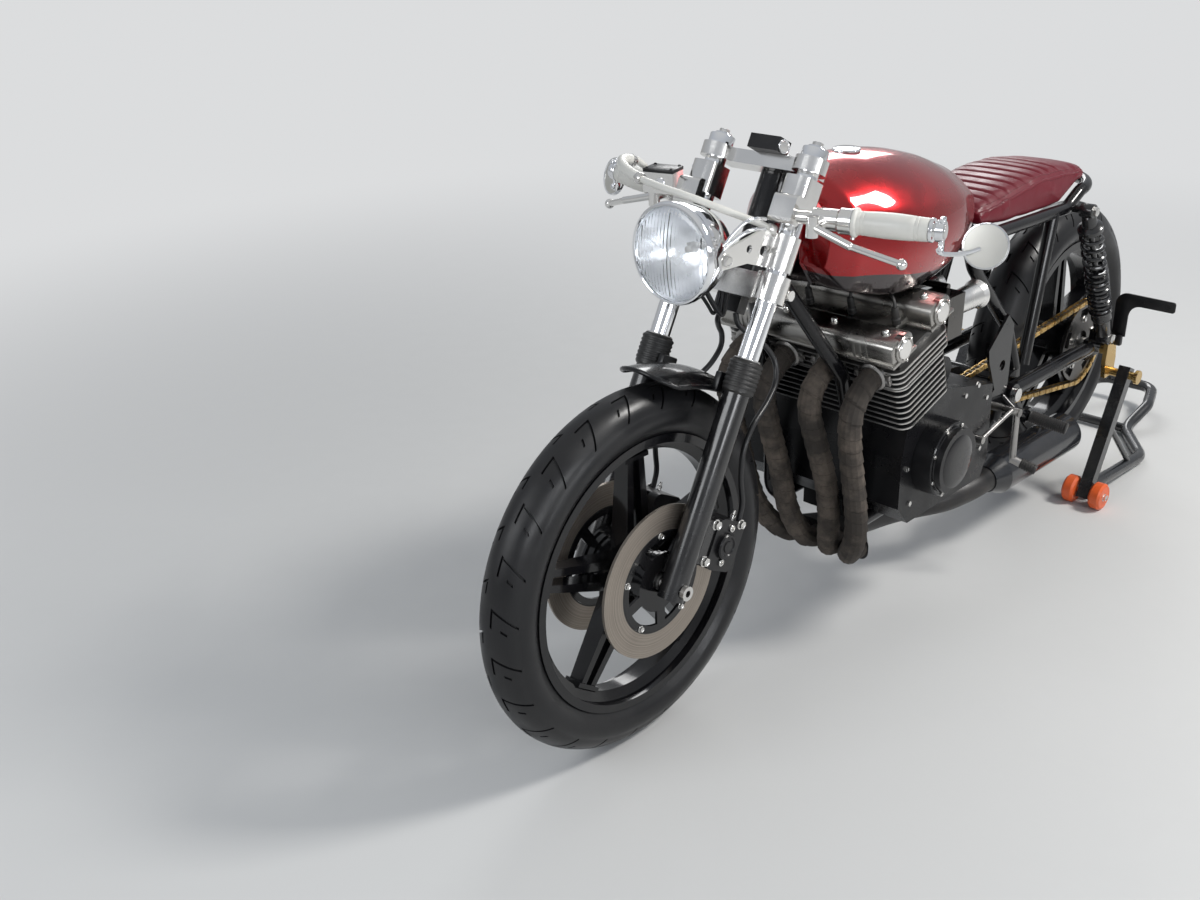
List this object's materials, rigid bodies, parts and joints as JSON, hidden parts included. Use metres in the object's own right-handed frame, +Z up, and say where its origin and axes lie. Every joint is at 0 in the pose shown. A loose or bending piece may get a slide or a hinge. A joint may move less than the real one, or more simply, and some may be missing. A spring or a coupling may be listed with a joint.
{
  "type": "cafe racer motorcycle on a paddock stand",
  "caption": "Stripped cafe racer motorcycle with an in-line engine, low clip-on bars and a ribbed single seat, held upright by a rear paddock stand.",
  "frame": {"origin": "on the floor under the middle of the motorcycle with its stand", "axes": "+X forward, +Y to the rider's left, +Z up"},
  "size_m": [2.4359, 0.8633, 1.0256],
  "materials": {
    "tyre_rubber": "black tread rubber",
    "wheel_black": "gloss black",
    "disc_steel": "turned bare steel",
    "fork_chrome": "polished hard chrome",
    "fork_black": "satin black",
    "polished_alloy": "polished",
    "satin_black": "satin black",
    "grip_cream": "cream ribbed rubber",
    "mirror_chrome": "mirror chrome",
    "lamp_chrome": "bright chrome",
    "lamp_glass": "clear fluted glass",
    "frame_black": "gloss black",
    "tank_red": "deep red metallic",
    "seat_leather": "dark red stitched leather",
    "engine_black": "worn satin black",
    "engine_alloy": "cast and polished edges",
    "header_wrap": "woven heat wrap",
    "pipe_black": "heat-proof black",
    "chain_gold": "gold plated",
    "bare_steel": "bare machined steel",
    "shock_black": "gloss black",
    "peg_rubber": "black ribbed rubber",
    "stand_black": "gloss black",
    "hook_gold": "gold anodised",
    "roller_orange": "orange polyurethane",
    "hose_black": "black rubber",
    "cable_white": "white sleeve"
  },
  "bodies": {
    "chassis": {"brake_pedal": "polished_alloy", "cam_covers": "engine_alloy", "carburettors": "engine_alloy", "crankcase": "engine_black", "cylinder_head": "engine_alloy", "cylinders": "engine_alloy", "drive_chain": "chain_gold", "exhaust_collector": "pipe_black", "exhaust_headers": "header_wrap", "filler_cap": "mirror_chrome", "footpegs": "peg_rubber", "footrest_plates": "satin_black", "front_sprocket": "bare_steel", "fuel_tank": "tank_red", "main_frame": "frame_black", "muffler": "pipe_black", "pivot_bolt": "bare_steel", "plate_bracket": "satin_black", "rear_axle": "bare_steel", "rear_caliper": "satin_black", "seat": "seat_leather", "seat_rail": "frame_black", "shift_lever": "polished_alloy", "shock_absorbers": "shock_black", "stand_frame": "stand_black", "stand_hooks": "hook_gold", "swingarm": "frame_black"},
    "steering": {"brake_hoses": "hose_black", "brake_lever": "polished_alloy", "clutch_lever": "polished_alloy", "fork_sliders": "fork_black", "fork_tubes": "fork_chrome", "front_axle": "bare_steel", "front_calipers": "satin_black", "front_fender": "frame_black", "gauge": "satin_black", "grips": "grip_cream", "handlebars": "polished_alloy", "headlight": "lamp_chrome", "headlight_ears": "polished_alloy", "headlight_lens": "lamp_glass", "lower_clamp": "polished_alloy", "mirrors": "mirror_chrome", "switch_housings": "satin_black", "throttle_cable": "cable_white", "top_clamp": "satin_black"},
    "front_wheel_body": {"front_wheel": "wheel_black", "front_discs": "disc_steel", "front_tyre": "tyre_rubber"},
    "rear_wheel_body": {"rear_wheel": "wheel_black", "rear_disc": "disc_steel", "rear_sprocket": "chain_gold", "rear_tyre": "tyre_rubber"},
    "stand_left_body": {"stand_wheels_left": "roller_orange"},
    "stand_right_body": {"stand_wheels_right": "roller_orange"}
  },
  "joints": [
    {"name": "steering_head", "type": "hinge", "parent": "chassis", "child": "steering", "pos_m": [1.002, 0, 0], "axis": [-0.4617, 0, 0.887], "range_deg": [-28, 28]},
    {"name": "front_wheel_spin", "type": "hinge", "parent": "steering", "child": "front_wheel_body", "pos_m": [0.887, 0, 0.331], "axis": [0, 1, 0], "continuous": true},
    {"name": "rear_wheel_spin", "type": "hinge", "parent": "chassis", "child": "rear_wheel_body", "pos_m": [-0.628, 0, 0.356], "axis": [0, 1, 0], "continuous": true},
    {"name": "stand_left_spin", "type": "hinge", "parent": "chassis", "child": "stand_left_body", "pos_m": [-0.504, 0.205, 0.033], "axis": [0, 1, 0], "continuous": true},
    {"name": "stand_right_spin", "type": "hinge", "parent": "chassis", "child": "stand_right_body", "pos_m": [-0.504, -0.205, 0.033], "axis": [0, 1, 0], "continuous": true}
  ]
}
